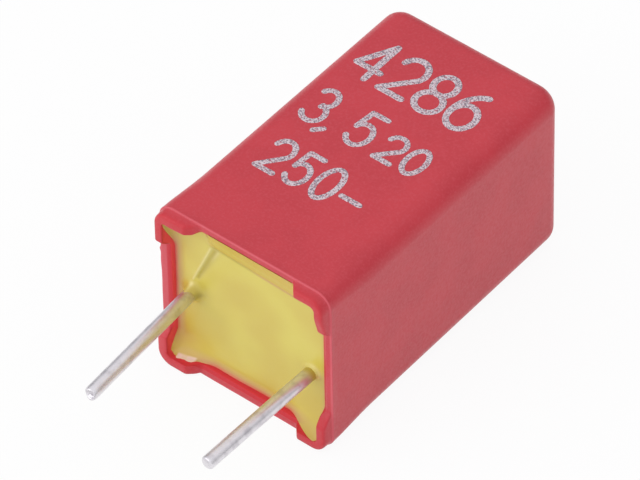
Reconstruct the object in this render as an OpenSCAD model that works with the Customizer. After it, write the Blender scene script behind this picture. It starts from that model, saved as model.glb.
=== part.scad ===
// Box film capacitor: a moulded case with four stand-off feet on its open rim, potted with resin
// round a flattened film winding, with two round wire leads.
// Millimetres. X runs along the lead pitch, Y from the lead tips to the closed end of the case, and
// Z up. Each piece is drawn standing on the open rim of the case, then laid on one side.

/* [Leads] */
// Distance between the two lead centres
pitch = 5; // [4:0.1:7.5]
// Diameter of the lead wire
lead_dia = 0.5; // [0.4:0.05:0.6]
// Free length of the left lead, beyond the case's rim
left_len = 5.3; // [3:0.1:25]
// Free length of the right lead, beyond the case's rim
right_len = 5; // [3:0.1:25]
// Height of the left lead above the middle of the case
left_rise = -0.18; // [-1:0.02:1]
// Height of the right lead above the middle of the case
right_rise = -0.78; // [-1:0.02:1]
// Lean of the left lead towards the right one, in degrees
left_lean_in = 2.4; // [0:0.1:5]
// Lean of the left lead downwards, in degrees
left_lean_down = 1.6; // [0:0.1:5]
// Lean of the right lead towards the left one, in degrees
right_lean_in = 1.6; // [0:0.1:5]
// Slant of the sheared tip of the left lead, in degrees
tip_slant = 15; // [0:1:45]
// Rounding of the lead tips
tip_r = 0.08; // [0.02:0.01:0.15]

/* [Case] */
// Distance from a lead's centre to the side of the case
lead_to_side = 1.1; // [0.9:0.05:2]
// Thickness of the case, from its printed side to the opposite side
case_t = 7.2; // [5:0.1:9]
// Length of the case, from its open rim to its closed end
case_l = 12.3; // [9:0.1:16]
// Thickness of the side walls
wall = 0.4; // [0.3:0.02:0.5]
// Thickness of the closed end
end_wall = 0.5; // [0.3:0.05:1]
// Radius of the four long outer edges
edge_r = 0.9; // [0.6:0.05:1.2]
// Radius round the closed end
end_r = 0.65; // [0.2:0.05:0.9]
// Radius of the long edges of the cavity
cavity_r = 0.6; // [0.3:0.05:0.9]
// Radius round the outer edge of the open rim
rim_r = 0.06; // [0.02:0.01:0.1]
// Chamfer along the inner edge of the open rim
rim_chamfer = 0.15; // [0.05:0.01:0.2]

/* [Stand-off feet] */
// Height of the feet beyond the rim
foot_h = 0.4; // [0.2:0.05:0.8]
// Length of a foot along each wall at its root, from the corner of the case
foot_reach = 1.6; // [1.4:0.05:2.2]
// Step from the side of the case in to the side of a foot
foot_step = 0.06; // [0.02:0.01:0.1]
// Slope of a foot's flanks, in degrees
foot_slope = 50; // [35:1:80]
// Radius where a flank meets the tip of a foot
foot_tip_r = 0.15; // [0.05:0.01:0.2]
// Radius where a flank meets the rim
foot_root_r = 0.2; // [0.05:0.01:0.3]
// Rounding of the long edges of a foot's tip
foot_edge_r = 0.1; // [0.03:0.01:0.12]

/* [Potting resin] */
// Depth of the resin's surface below the rim
resin_drop = 0.35; // [0.25:0.01:0.6]
// Radius of the hollow edge where the resin climbs the walls
resin_climb = 0.2; // [0.05:0.01:0.3]
// Thickness of the resin's edge where its climb ends on a wall
resin_feather = 0.03; // [0.01:0.01:0.05]
// Width of the slope of resin that floods the rim on the printed side
flood_w = 0.45; // [0.2:0.05:1]
// Height of the resin collar on each lead
collar_h = 0.14; // [0.05:0.01:0.2]
// Width of the resin collar on each lead
collar_w = 0.12; // [0.05:0.01:0.2]

/* [Film winding] */
// Depth of the winding below the rim
winding_drop = 1.5; // [1:0.1:3]
// Layer of resin between the winding and the side walls
winding_side_gap = 0.5; // [0.2:0.05:1]
// Layer of resin between the winding and the closed end
winding_end_gap = 0.7; // [0.2:0.05:2]
// Thickness of the sprayed metal on each face of the winding
spray_t = 0.3; // [0.2:0.01:0.4]
// Depth that a welded lead sits in the sprayed metal
weld_bite = 0.06; // [0.03:0.01:0.1]
// Length of lead that lies on the sprayed metal
weld_len = 5; // [2:0.1:6]

/* [Hidden] */
$fn = 64;

CUT = 1;  // how far a cutting shape runs past the face that it cuts

lead_r = lead_dia / 2;
lead_x = pitch / 2;
bend_gap = 0.08;  // straight length of lead between its resin collar and its bend
bend_swell = 0.005;  // how much thicker the wire's radius is at the bend

case_w = pitch + 2 * lead_to_side;
cavity_w = case_w - 2 * wall;
cavity_t = case_t - 2 * wall;
cavity_l = case_l - end_wall;
case_end_r = min(end_r, edge_r);
rim_y = (left_len * cos(left_lean_in) * cos(left_lean_down) - case_l) / 2;  // the part is centred on Y

winding_w = pitch - lead_dia + 2 * weld_bite - 2 * spray_t;
winding_t = cavity_t - 2 * winding_side_gap;
winding_l = cavity_l - winding_end_gap - winding_drop;
spray_x = (winding_w + spray_t) / 2;  // middle of each sprayed layer

collar_z = resin_drop - collar_h;  // top of the resin collars
bend_z = collar_z - bend_gap;      // where the leads start to lean
lead_in = winding_drop + weld_len; // depth of the leads' inner ends

// Lays a standing piece on its side: the printed side faces up and the closed end points along +Y.
module lay_down() translate([0, rim_y, case_t / 2]) rotate([-90, 0, 0]) children();

// Strip [0, w] x [0, h] with its right-hand corners rounded, by r_low at y = 0 and r_high at y = h.
module strip(w, h, r_low = 0, r_high = 0) {
    difference() {
        square([w, h]);
        if (r_low > 0) translate([w - r_low, r_low]) mirror([0, 1]) corner_waste(r_low);
        if (r_high > 0) translate([w - r_high, h - r_high]) corner_waste(r_high);
    }
}

// What a radius takes off a square corner, seen from the centre of the radius.
module corner_waste(r) {
    difference() {
        square(r + CUT);
        circle(r);
    }
}

// Block of w x t with vertical edges of radius r, whose side follows a 2D child round all four walls.
// The child fills [0, r] x [0, h], where x = r is the face of the wall.
module swept_block(w, t, r, h) {
    rotate([90, 0, 90]) linear_extrude(w - 2 * r, center = true) across(t, r, h) children();
    rotate([90, 0, 0]) linear_extrude(t - 2 * r, center = true) across(w, r, h) children();
    for (x = [-1, 1], y = [-1, 1])
        translate([x * (w / 2 - r), y * (t / 2 - r), 0]) rotate_extrude() children();
}

// Cross-section from wall to wall: the child at both ends, with plain material between them.
module across(span, r, h) {
    translate([span / 2 - r, 0]) children();
    mirror([1, 0]) translate([span / 2 - r, 0]) children();
    translate([r - span / 2, 0]) square([span - 2 * r, h]);
}

// Outer form of the case, with its rim at z = 0.
module case_form() swept_block(case_w, case_t, edge_r, case_l) strip(edge_r, case_l, rim_r, case_end_r);

// The cavity from z = from to its floor.
module cavity(from) {
    translate([0, 0, from])
        swept_block(cavity_w, cavity_t, cavity_r, cavity_l - from) strip(cavity_r, cavity_l - from);
}

// Funnel that chamfers the inner edge of the rim.
module rim_funnel() {
    r = cavity_r + rim_chamfer;
    translate([0, 0, -rim_chamfer])
        swept_block(cavity_w + 2 * rim_chamfer, cavity_t + 2 * rim_chamfer, r, 2 * rim_chamfer)
            polygon([[0, 0], [r, 0], [r, rim_chamfer], [cavity_r, 2 * rim_chamfer], [0, 2 * rim_chamfer]]);
}

// Ring that the feet are cut from: it stands foot_h out of the rim and its tip is rounded.
module foot_ring() {
    w = case_w - 2 * foot_step;
    t = case_t - 2 * foot_step;
    r = edge_r - foot_step;
    inner_r = cavity_r;
    rooted = foot_h + 2 * rim_chamfer;
    translate([0, 0, -foot_h]) difference() {
        swept_block(w, t, r, rooted) strip(r, rooted, foot_edge_r);
        translate([0, 0, -CUT])
            swept_block(cavity_w, cavity_t, inner_r, rooted + 2 * CUT) strip(inner_r, rooted + 2 * CUT);
    }
}

// Side view of one leg of a foot: u runs along the wall from the corner, v out from the rim.
module leg_outline() {
    sink = 3 * rim_chamfer;
    tip_u = foot_reach - foot_tip_r * sin(foot_slope)
        - (foot_h - foot_tip_r * (1 - cos(foot_slope))) / tan(foot_slope);
    fillet = foot_root_r * tan(foot_slope / 2);
    tip_centre = [tip_u, foot_h - foot_tip_r];
    tip_touch = tip_centre + foot_tip_r * [sin(foot_slope), cos(foot_slope)];
    root_touch = [foot_reach - fillet * cos(foot_slope), fillet * sin(foot_slope)];
    root_end = [foot_reach + fillet, 0];
    difference() {
        union() {
            polygon([[-CUT, -sink], [root_end.x, -sink], root_end, [foot_reach, 0], root_touch,
                     tip_touch, [tip_u, foot_h], [tip_u, foot_h + CUT], [-CUT, foot_h + CUT]]);
            polygon([[foot_reach, 0], root_end, root_touch]);
            translate(tip_centre) circle(foot_tip_r);
        }
        translate([root_end.x, foot_root_r]) circle(foot_root_r);
    }
}

// One leg's envelope, running along +x from the outer face of the wall at the corner [0, 0].
module leg_envelope() rotate([-90, 0, 0]) translate([0, 0, -CUT]) linear_extrude(edge_r + CUT) leg_outline();

// Four L-shaped feet, one at each corner of the rim.
module feet() {
    intersection() {
        foot_ring();
        for (x = [-1, 1], y = [-1, 1])
            scale([x, y, 1]) translate([-case_w / 2, -case_t / 2, 0]) {
                leg_envelope();
                mirror([1, -1, 0]) leg_envelope();
            }
    }
}

// Flattened roll outline, w thick, standing from winding_drop to the end of the winding.
module roll_section() {
    r = winding_t / 2;
    translate([0, winding_drop + r]) circle(r);
    translate([0, winding_drop + winding_l - r]) circle(r);
    translate([-r, winding_drop + r]) square([winding_t, winding_l - winding_t]);
}

// A slice of the roll, w wide and centred on x.
module roll_slice(x, w)
    translate([x, 0, 0]) rotate([90, 0, 90]) linear_extrude(w, center = true) roll_section();

// Straight round wire of length len along +z, with its far end rounded.
module wire(len, end_round) rotate_extrude() strip(lead_r, len, 0, end_round);

// The part of a lead that stands straight in the resin, on side x = -1 or 1.
module lead_inside(side, rise)
    translate([side * lead_x, -rise, bend_z]) cylinder(r = lead_r, h = lead_in - bend_z);

// The part of a lead outside the resin, from its bend: it leans in and down, and child 0 is cut from
// its tip.
module lead_outside(side, rise, len, lean_in, lean_down) {
    translate([side * lead_x, -rise, bend_z]) {
        sphere(lead_r + bend_swell);
        rotate([180 + lean_down, 0, 0]) rotate([0, -side * lean_in, 0]) difference() {
            wire(len + bend_z, tip_r);
            children();
        }
    }
}

// What a slanted cut takes off a wire that ends at z = len: its lower side stays the longest.
module slanted_cut(len)
    translate([-CUT, -lead_r, len]) rotate([-tip_slant, 0, 0]) translate([0, -CUT, 0]) cube([2, 3, 1] * CUT);

module resin_collar(side, rise)
    translate([side * lead_x, -rise, collar_z])
        cylinder(r1 = lead_r + resin_feather, r2 = lead_r + collar_w, h = collar_h);

// Dish with hollow edges that is left above the resin's surface.
module resin_dish() {
    w = cavity_w - 2 * resin_feather;
    t = cavity_t - 2 * resin_feather;
    r = cavity_r - resin_feather;
    translate([0, 0, -CUT])
        swept_block(w, t, r, resin_drop + CUT) strip(r, resin_drop + CUT, 0, min(resin_climb, r));
}

// Slope of resin that runs up to the rim between the two feet on the printed side.
module resin_flood() {
    reach = case_w - 2 * (foot_reach + foot_root_r);
    inner = -cavity_t / 2;
    rotate([90, 0, 90]) linear_extrude(reach, center = true)
        polygon([[inner - rim_chamfer, 0], [inner + resin_feather, 0], [inner + flood_w, resin_drop],
                 [inner + flood_w, 2 * resin_drop], [inner, 2 * resin_drop], [inner, rim_chamfer]]);
}

module case_shell() {
    color([0.79, 0.31, 0.35]) lay_down() {
        difference() {
            case_form();
            cavity(0);
            rim_funnel();
        }
        feet();
    }
}

module potting_resin() {
    color([0.84, 0.78, 0.41]) lay_down() difference() {
        union() {
            difference() {
                cavity(resin_drop - resin_climb);
                resin_dish();
            }
            resin_flood();
            resin_collar(-1, left_rise);
            resin_collar(1, right_rise);
        }
        roll_slice(0, winding_w + 2 * spray_t);
        lead_inside(-1, left_rise);
        lead_inside(1, right_rise);
    }
}

module film_winding() color([0.72, 0.74, 0.76]) lay_down() roll_slice(0, winding_w);

module end_contact(side, rise) {
    color([0.6, 0.6, 0.58]) lay_down() difference() {
        roll_slice(side * spray_x, spray_t);
        lead_inside(side, rise);
    }
}

module lead_left() {
    color([0.76, 0.75, 0.76]) lay_down() {
        lead_inside(-1, left_rise);
        lead_outside(-1, left_rise, left_len, left_lean_in, left_lean_down) slanted_cut(left_len + bend_z);
    }
}

module lead_right() {
    color([0.76, 0.75, 0.76]) lay_down() {
        lead_inside(1, right_rise);
        lead_outside(1, right_rise, right_len, right_lean_in, 0);
    }
}

case_shell();  // case
potting_resin();
film_winding();
end_contact(-1, left_rise);  // end_contact_left
end_contact(1, right_rise);  // end_contact_right
lead_left();
lead_right();
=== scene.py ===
"""Box film capacitor in a moulded case: its finished pieces, their materials, and a plain studio.

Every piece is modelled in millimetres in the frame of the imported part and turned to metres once, when
its mesh is written. X runs along the lead pitch, Y from the lead tips to the closed end of the case,
and Z up. A depth is a distance from the case's rim into the case, so a depth below zero is outside.
"""

from __future__ import annotations

import logging
import math
from dataclasses import dataclass
from enum import Enum
from typing import Callable, Iterable, Mapping

import bmesh
import bpy
from bmesh.types import BMEdge, BMesh, BMVert
from mathutils import Matrix, Vector, noise


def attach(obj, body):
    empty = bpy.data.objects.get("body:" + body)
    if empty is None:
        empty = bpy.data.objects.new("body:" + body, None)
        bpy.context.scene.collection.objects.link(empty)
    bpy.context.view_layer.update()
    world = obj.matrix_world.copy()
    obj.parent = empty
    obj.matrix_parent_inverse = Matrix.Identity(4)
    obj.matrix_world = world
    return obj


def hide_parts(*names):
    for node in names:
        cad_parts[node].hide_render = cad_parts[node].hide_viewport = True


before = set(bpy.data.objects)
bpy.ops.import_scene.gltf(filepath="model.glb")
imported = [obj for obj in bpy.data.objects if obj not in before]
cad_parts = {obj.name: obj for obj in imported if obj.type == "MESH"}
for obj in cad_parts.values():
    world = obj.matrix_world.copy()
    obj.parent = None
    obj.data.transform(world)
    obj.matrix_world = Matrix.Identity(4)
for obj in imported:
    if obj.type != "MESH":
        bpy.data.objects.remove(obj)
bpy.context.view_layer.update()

LOG = logging.getLogger("capacitor")
MM = 0.001
BODY = "root"
TURN = 2 * math.pi


def grains(size_mm: float) -> float:
    """Scale of a noise pattern whose grains are size_mm across, on object coordinates in metres.

    Args:
        size_mm: Width of one grain in millimetres.

    Returns:
        The scale to give to a texture node.
    """
    return 1 / (size_mm * MM)


def ramp(value: float, low: float, high: float, softness: float = 0.0) -> float:
    """Straight slope from 0 at low to 1 at high, with rounded ends.

    Args:
        value: Where the slope is read.
        low: Place where the slope starts.
        high: Place where the slope ends; it may lie below low.
        softness: Part of the slope that each end is rounded over.

    Returns:
        The height of the slope, from 0 to 1.
    """
    t = (value - low) / (high - low)
    if softness <= 0:
        return min(1.0, max(0.0, t))

    def rounded(u: float) -> float:
        """Zero below the corner, u above it, and a parabola across it."""
        if u <= -softness:
            return 0.0
        if u >= softness:
            return u
        return (u + softness) ** 2 / (4 * softness)

    return rounded(t) - rounded(t - 1)


def ease(value: float, low: float, high: float) -> float:
    """Smooth step from 0 at low to 1 at high."""
    t = min(1.0, max(0.0, (value - low) / (high - low)))
    return t * t * (3 - 2 * t)


def bell(distance: float, width: float) -> float:
    """Rounded bump of height 1 that fades over about twice its width."""
    return math.exp(-((distance / width) ** 2))


def mix(a: float, b: float, part: float) -> float:
    """Value that lies part of the way from a to b."""
    return a + (b - a) * part


def wander(x: float, y: float, z: float, size_mm: float) -> float:
    """Smooth noise between about -1 and 1, with bumps size_mm across."""
    return noise.noise(Vector((x, y, z)) / size_mm)


def segment_distance(x: float, z: float, start: tuple[float, float], end: tuple[float, float]) -> float:
    """Distance from a point to a straight segment, in one plane."""
    point, first, last = Vector((x, z)), Vector(start), Vector(end)
    along = last - first
    t = min(1.0, max(0.0, (point - first).dot(along) / along.length_squared))
    return (point - first - along * t).length


# --------------------------------------------------------------------------------------- materials


def linear(hex_colour: str) -> tuple[float, float, float, float]:
    """Turns an sRGB hex colour into linear red, green, blue and alpha."""
    channels = [int(hex_colour[i:i + 2], 16) / 255 for i in (1, 3, 5)]
    r, g, b = (c / 12.92 if c <= 0.04045 else ((c + 0.055) / 1.055) ** 2.4 for c in channels)
    return r, g, b, 1.0


def add_node(
    tree: bpy.types.NodeTree, kind: str, inputs: Mapping[str | int, object] | None = None, **settings: object
) -> bpy.types.Node:
    """Adds a node to a tree with its settings, its values and its links.

    Args:
        tree: The tree that the node joins.
        kind: The node's type name.
        inputs: What each input socket gets, by name or number: another node's socket, or a value.
        settings: Properties of the node itself.

    Returns:
        The new node.
    """
    node = tree.nodes.new(kind)
    for name, value in settings.items():
        setattr(node, name, value)
    for name, value in (inputs or {}).items():
        if isinstance(value, bpy.types.NodeSocket):
            tree.links.new(value, node.inputs[name])
        else:
            node.inputs[name].default_value = value
    return node


def calculate(
    tree: bpy.types.NodeTree, operation: str, first: object, second: object
) -> bpy.types.NodeSocket:
    """Joins two values, each a socket or a number, by one operation."""
    return add_node(tree, "ShaderNodeMath", {0: first, 1: second}, operation=operation).outputs["Value"]


@dataclass(frozen=True)
class Finish:
    """A surface finish: its name, its colours and its typical values."""

    name: str
    base: str
    roughness: float
    ior: float = 1.5
    metallic: float = 0.0

    def material(self) -> bpy.types.Material:
        """Builds the finish as a node material."""
        made = bpy.data.materials.new(self.name)
        made.use_nodes = True
        tree = made.node_tree
        tree.nodes.clear()
        shader = add_node(
            tree, "ShaderNodeBsdfPrincipled",
            {"Base Color": linear(self.base), "Roughness": self.roughness, "IOR": self.ior,
             "Metallic": self.metallic},
        )
        add_node(tree, "ShaderNodeOutputMaterial", {"Surface": shader.outputs["BSDF"]})
        self.dress(tree, shader)
        made.diffuse_color = linear(self.base)
        return made

    def dress(self, tree: bpy.types.NodeTree, shader: bpy.types.Node) -> None:
        """Links the finish's own patterns to the shader."""
        raise NotImplementedError

    def noise(
        self, tree: bpy.types.NodeTree, size_mm: float, detail: float = 3.0, stretch: Vector | None = None
    ) -> bpy.types.NodeSocket:
        """Noise on object coordinates, with grains size_mm across.

        Args:
            tree: The material's tree.
            size_mm: Width of one grain in millimetres.
            detail: How many finer layers the noise has.
            stretch: How much longer a grain is along each axis, or None for a round one.

        Returns:
            The noise value's socket.
        """
        place = add_node(tree, "ShaderNodeTexCoord").outputs["Object"]
        if stretch is not None:
            place = add_node(
                tree, "ShaderNodeMapping", {"Vector": place, "Scale": [1 / s for s in stretch]}
            ).outputs["Vector"]
        return add_node(
            tree, "ShaderNodeTexNoise", {"Vector": place, "Scale": grains(size_mm), "Detail": detail}
        ).outputs["Fac"]

    def spread(
        self, tree: bpy.types.NodeTree, value: bpy.types.NodeSocket, span: tuple[float, float],
        to: tuple[float, float],
    ) -> bpy.types.NodeSocket:
        """Takes the part of a value between two levels to another span, clamped and eased."""
        return add_node(
            tree, "ShaderNodeMapRange",
            {"Value": value, "From Min": span[0], "From Max": span[1], "To Min": to[0], "To Max": to[1]},
            interpolation_type="SMOOTHSTEP",
        ).outputs["Result"]

    def blend(
        self, tree: bpy.types.NodeTree, factor: bpy.types.NodeSocket, low: object, high: object
    ) -> bpy.types.NodeSocket:
        """Mixes two colours, each a socket or a linear colour."""
        return add_node(
            tree, "ShaderNodeMix", {0: factor, 6: low, 7: high}, data_type="RGBA"
        ).outputs[2]

    def bump(
        self, tree: bpy.types.NodeTree, height: bpy.types.NodeSocket, rise_mm: float,
        under: bpy.types.NodeSocket | None = None,
    ) -> bpy.types.NodeSocket:
        """Normal for a relief whose full rise is rise_mm, over the relief under it."""
        inputs: dict[str | int, object] = {"Height": height, "Distance": rise_mm * MM, "Strength": 1.0}
        if under is not None:
            inputs["Normal"] = under
        return add_node(tree, "ShaderNodeBump", inputs).outputs["Normal"]


@dataclass(frozen=True)
class MouldedPbt(Finish):
    """Glass-filled PBT, injection moulded in a spark-eroded tool: a fine, dull grain."""

    streak: str = "#C1343F"
    pale: str = "#C94450"
    # Painted highlight along the rim's outer and inner edges.
    painted_rim_highlight: str = "#D8606C"
    # Painted shade: a deeper red for the mouth and the feet, standing in for less of the room's shine.
    deep: str = "#CA2C34"
    glow: str = "#EE4E58"
    reflection: float = 0.33
    shaded: float = 0.08

    def dress(self, tree: bpy.types.NodeTree, shader: bpy.types.Node) -> None:
        """Clouds the colour, paints a highlight along the rim's edges, paints shade as a deeper red in the
        mouth and on the feet, lights the thin rim and gives the tool's grain.
        """
        cloud = self.spread(tree, self.noise(tree, 1.6, 2.0), (0.35, 0.65), (0.0, 1.0))
        fleck = self.spread(tree, self.noise(tree, 0.09, 2.0), (0.42, 0.72), (0.0, 0.55))
        colour = self.blend(tree, cloud, linear(self.base), linear(self.streak))
        colour = self.blend(tree, fleck, colour, linear(self.pale))
        # The rim's edges get a painted highlight, the mouth and the feet painted shade as a deeper red, and
        # the thin rim its glow.
        for layer, tint in (("painted_rim_highlight", self.painted_rim_highlight), ("inside", self.deep), ("glow", self.glow)):
            mark = add_node(tree, "ShaderNodeAttribute", attribute_name=layer).outputs["Fac"]
            colour = self.blend(tree, mark, colour, linear(tint))
        tree.links.new(colour, shader.inputs["Base Color"])
        inside = add_node(tree, "ShaderNodeAttribute", attribute_name="inside").outputs["Fac"]
        shine = self.spread(tree, inside, (0.0, 1.0), (self.reflection, self.shaded))
        tree.links.new(shine, shader.inputs["Specular IOR Level"])
        grain = self.noise(tree, 0.11, 3.0)
        rough = self.spread(tree, grain, (0.3, 0.7), (self.roughness - 0.05, self.roughness + 0.07))
        tree.links.new(rough, shader.inputs["Roughness"])
        tree.links.new(self.bump(tree, grain, 0.0045), shader.inputs["Normal"])


@dataclass(frozen=True)
class CastEpoxy(Finish):
    """Cast epoxy resin: glossy, with a faint flow and a thin stained edge where it wets the case."""

    warm: str = "#CDB84F"
    tan: str = "#C69C62"
    stain: str = "#D0584A"
    # Darker orange-yellow towards the bottom and in the lower left corner, and painted shade on the flood's
    # slope.
    amber_and_slope_shade: str = "#D0AE38"
    # Painted shade in the hollows and along the crease, beside the left lead's root and in the upper left
    # corner.
    painted_shade_olive: str = "#AE9C38"
    # Painted highlights on the ridge crests and round the lead roots.
    pale: str = "#EADF98"
    torn: str = "#EED0C2"

    def dress(self, tree: bpy.types.NodeTree, shader: bpy.types.Node) -> None:
        """Varies the yellow, stains the thin edge, paints shade in the hollows, along the flood's crease and
        on its slope, paints highlights on the crests and round the lead roots, and marks the torn flake.
        """

        def mark(layer: str) -> bpy.types.NodeSocket:
            """Value of one of the mesh's own marks."""
            return add_node(tree, "ShaderNodeAttribute", attribute_name=layer).outputs["Fac"]

        cloud = self.spread(tree, self.noise(tree, 2.2, 1.0), (0.3, 0.7), (0.0, 1.0))
        colour = self.blend(tree, cloud, linear(self.base), linear(self.warm))
        film = mark("film")
        for factor, tint in (
            (self.spread(tree, film, (0.0, 0.55), (0.0, 1.0)), self.tan),
            (self.spread(tree, film, (0.5, 1.0), (0.0, 1.0)), self.stain),
            (mark("amber_and_slope_shade"), self.amber_and_slope_shade),
            (mark("painted_shade_olive"), self.painted_shade_olive),
            (mark("pale"), self.pale),
            (mark("torn"), self.torn),
        ):
            colour = self.blend(tree, factor, colour, linear(tint))
        tree.links.new(colour, shader.inputs["Base Color"])
        flow = self.noise(tree, 1.3, 1.0)
        fine = self.noise(tree, 0.16, 2.0)
        rough = self.spread(tree, fine, (0.3, 0.7), (self.roughness - 0.04, self.roughness + 0.06))
        tree.links.new(rough, shader.inputs["Roughness"])
        relief = self.bump(tree, flow, 0.003)
        tree.links.new(self.bump(tree, fine, 0.0001, relief), shader.inputs["Normal"])


@dataclass(frozen=True)
class TinnedCopper(Finish):
    """Tinned copper wire: drawn, hot-dipped and matt, with faint streaks and a film of resin at its root,
    whose colour there also paints the resin's reflection in the wire.
    """

    dull: str = "#BEBAC0"
    # Resin film at the root, whose colour also stands in for a painted reflection of the resin.
    resin: str = "#BFAB50"

    def dress(self, tree: bpy.types.NodeTree, shader: bpy.types.Node) -> None:
        """Draws the streaks along the wire and the soft bumps of the dip."""
        along = Vector((1, 14, 1))
        streak = self.noise(tree, 0.07, 2.0, along)
        blotch = self.spread(tree, self.noise(tree, 0.35, 2.0), (0.45, 0.75), (0.0, 0.6))
        # Less metal and more resin colour towards the root: a resin film and a painted reflection of the
        # resin.
        film = add_node(tree, "ShaderNodeAttribute", attribute_name="root").outputs["Fac"]
        colour = self.blend(tree, blotch, linear(self.base), linear(self.dull))
        tree.links.new(self.blend(tree, film, colour, linear(self.resin)), shader.inputs["Base Color"])
        tree.links.new(self.spread(tree, film, (0.0, 1.0), (1.0, 0.2)), shader.inputs["Metallic"])
        rough = self.spread(tree, streak, (0.3, 0.7), (self.roughness - 0.04, self.roughness + 0.06))
        tree.links.new(rough, shader.inputs["Roughness"])
        relief = self.bump(tree, self.noise(tree, 0.4, 1.0), 0.003)
        tree.links.new(self.bump(tree, streak, 0.00015, relief), shader.inputs["Normal"])


@dataclass(frozen=True)
class PadPrintInk(Finish):
    """Silver-grey pad-printing ink: a broken, speckled coat that lets the case show through."""

    speck: str = "#6E6270"
    gap: str = "#A84C5C"

    def dress(self, tree: bpy.types.NodeTree, shader: bpy.types.Node) -> None:
        """Speckles the ink and opens fine gaps in it."""
        speck = self.spread(tree, self.noise(tree, 0.055, 2.0), (0.46, 0.6), (0.0, 0.85))
        gap = self.spread(tree, self.noise(tree, 0.08, 2.0), (0.57, 0.68), (0.0, 0.9))
        colour = self.blend(tree, speck, linear(self.base), linear(self.speck))
        colour = self.blend(tree, gap, colour, linear(self.gap))
        tree.links.new(colour, shader.inputs["Base Color"])
        grain = self.noise(tree, 0.05, 2.0)
        tree.links.new(
            self.spread(tree, grain, (0.3, 0.7), (self.roughness - 0.1, self.roughness + 0.1)),
            shader.inputs["Roughness"],
        )
        tree.links.new(self.bump(tree, grain, 0.004), shader.inputs["Normal"])


@dataclass(frozen=True)
class MetallisedFilm(Finish):
    """Wound metallised film: a silvery stack whose layers show as fine rings."""

    layer: str = "#8C9096"

    def dress(self, tree: bpy.types.NodeTree, shader: bpy.types.Node) -> None:
        """Draws the layers across the winding, drawn coarser than the real film to show."""
        place = add_node(tree, "ShaderNodeTexCoord").outputs["Object"]
        layers = add_node(
            tree, "ShaderNodeTexWave",
            {"Vector": place, "Scale": grains(0.9), "Distortion": 1.5, "Detail": 1.0},
            bands_direction="Z",
        ).outputs["Fac"]
        tree.links.new(
            self.blend(tree, layers, linear(self.base), linear(self.layer)), shader.inputs["Base Color"]
        )
        tree.links.new(self.bump(tree, layers, 0.01), shader.inputs["Normal"])


@dataclass(frozen=True)
class SprayedZinc(Finish):
    """Flame-sprayed zinc: a dull, coarse crust of splats."""

    splat: str = "#77756F"

    def dress(self, tree: bpy.types.NodeTree, shader: bpy.types.Node) -> None:
        """Gives the crust its splats, in colour and in relief."""
        splats = self.noise(tree, 0.12, 4.0)
        shade = self.spread(tree, splats, (0.35, 0.65), (0.0, 1.0))
        tree.links.new(
            self.blend(tree, shade, linear(self.base), linear(self.splat)), shader.inputs["Base Color"]
        )
        tree.links.new(self.bump(tree, splats, 0.04), shader.inputs["Normal"])


class FinishKind(Enum):
    """The finishes of the part, by what each one is."""

    CASE = MouldedPbt("PBT_red_moulded", "#C73742", 0.38, 1.57)
    RESIN = CastEpoxy("epoxy_yellow_cast", "#D6C85A", 0.34, 1.55)
    WIRE = TinnedCopper("tinned_copper_dipped", "#E4E1E5", 0.39, metallic=1.0)
    INK = PadPrintInk("pad_print_ink_silver", "#D6C8CE", 0.5)
    FILM = MetallisedFilm("metallised_film_wound", "#B8BCC2", 0.35, metallic=0.8)
    SPRAY = SprayedZinc("zinc_flame_sprayed", "#9A978F", 0.7, metallic=0.6)


# ------------------------------------------------------------------------------------- mesh helpers

Place = Callable[[Vector, Vector], Vector]


def extrude_ring(bm: BMesh, edges: list[BMEdge]) -> tuple[set[BMVert], list[BMEdge]]:
    """Extrudes an open ring of edges, and gives the vertices and the edges of the new one."""
    grown = bmesh.ops.extrude_edge_only(bm, edges=edges)["geom"]
    fresh = {g for g in grown if isinstance(g, BMVert)}
    return fresh, [g for g in grown if isinstance(g, BMEdge) and all(v in fresh for v in g.verts)]


def close_ring(bm: BMesh, edges: list[BMEdge]) -> None:
    """Closes an open ring with a face and turns every face outwards."""
    bmesh.ops.holes_fill(bm, edges=edges, sides=0)
    bmesh.ops.recalc_face_normals(bm, faces=bm.faces[:])


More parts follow.
